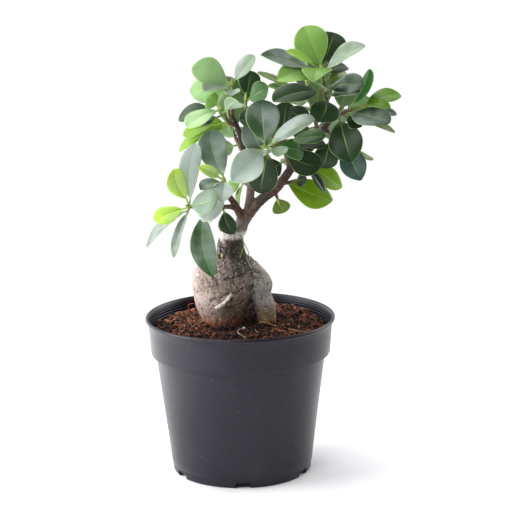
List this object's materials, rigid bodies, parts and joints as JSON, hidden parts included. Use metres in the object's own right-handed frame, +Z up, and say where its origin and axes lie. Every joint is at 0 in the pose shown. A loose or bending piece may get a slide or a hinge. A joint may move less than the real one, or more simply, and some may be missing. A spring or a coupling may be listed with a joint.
{
  "type": "potted grafted ficus",
  "caption": "Grafted ficus with a swollen two-legged root, bare forked branches and whorls of thick oval leaves, standing in soil in a round tapered nursery pot.",
  "frame": {"origin": "centre of the pot's flat underside", "axes": "+Z up out of the pot, -Y towards the front of the plant, +X to the viewer's right when the front is faced"},
  "size_m": [0.162, 0.12, 0.2811],
  "materials": {
    "pot": "thin black moulded nursery plastic, satin, dusty",
    "soil": "loose reddish-brown coir potting soil, matt",
    "bark": "grey-brown speckled bark",
    "leaf": "thick waxy green leaf with a pale edge and midrib"
  },
  "bodies": {
    "root": {"pot": "pot", "soil": "soil", "trunk": "bark", "shoot_top": "leaf", "shoot_right": "leaf", "shoot_right_low": "leaf", "shoot_front": "leaf", "shoot_centre": "leaf", "shoot_upper_left": "leaf", "shoot_left": "leaf", "shoot_left_tall": "leaf", "shoot_low_left": "leaf", "shoot_under": "leaf", "shoot_under_right": "leaf", "sprig_olive": "leaf", "sprig_behind": "leaf", "shoot_back_top": "leaf", "shoot_back_left": "leaf", "shoot_back_low": "leaf", "shoot_back_right": "leaf"}
  },
  "joints": []
}
